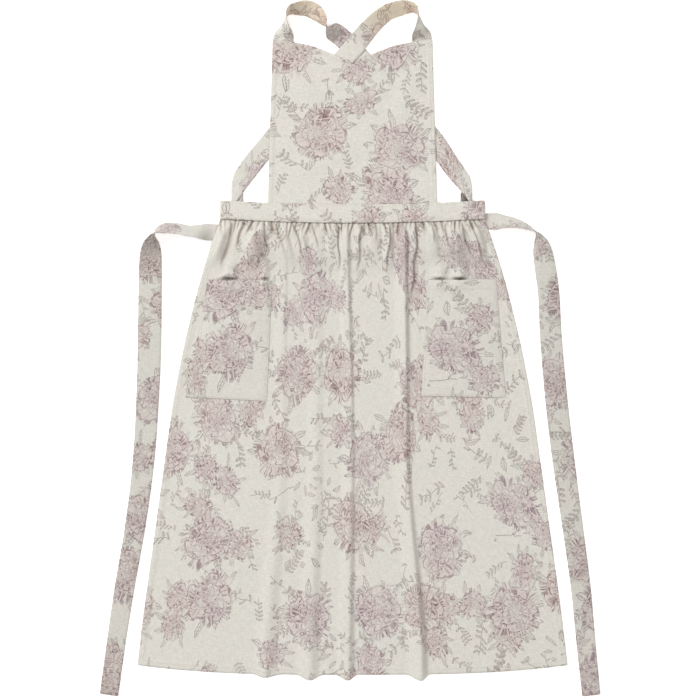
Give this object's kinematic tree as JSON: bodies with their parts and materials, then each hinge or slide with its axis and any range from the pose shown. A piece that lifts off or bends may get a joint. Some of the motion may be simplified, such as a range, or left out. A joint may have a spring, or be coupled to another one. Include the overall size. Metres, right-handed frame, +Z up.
{
  "type": "cross-back pinafore apron",
  "caption": "Gathered pinafore apron lying flat: bib with a sweetheart top, crossed shoulder straps in loops, waistband, full skirt with folds, patch pockets and long waist ties.",
  "frame": {"origin": "on the surface the apron lies on, below the middle of its outline", "axes": "+X to the right and +Y towards the shoulder straps of the apron lying face up, +Z up from the surface"},
  "size_m": [0.8001, 1.1105, 0.0341],
  "materials": {
    "body_cloth": "matt linen-cotton weave with a faded floral print",
    "band_cloth": "the same cloth, folded double and topstitched",
    "strap_cloth": "the same cloth, folded to a flat strap and topstitched"
  },
  "bodies": {
    "root": {"bib": "body_cloth", "waistband": "band_cloth", "skirt": "body_cloth", "pocket_left": "body_cloth", "pocket_right": "body_cloth", "shoulder_strap_left": "strap_cloth", "shoulder_strap_right": "strap_cloth", "tie_left": "strap_cloth", "tie_left_tail": "strap_cloth", "tie_right": "strap_cloth", "tie_right_tail": "strap_cloth"}
  },
  "joints": []
}
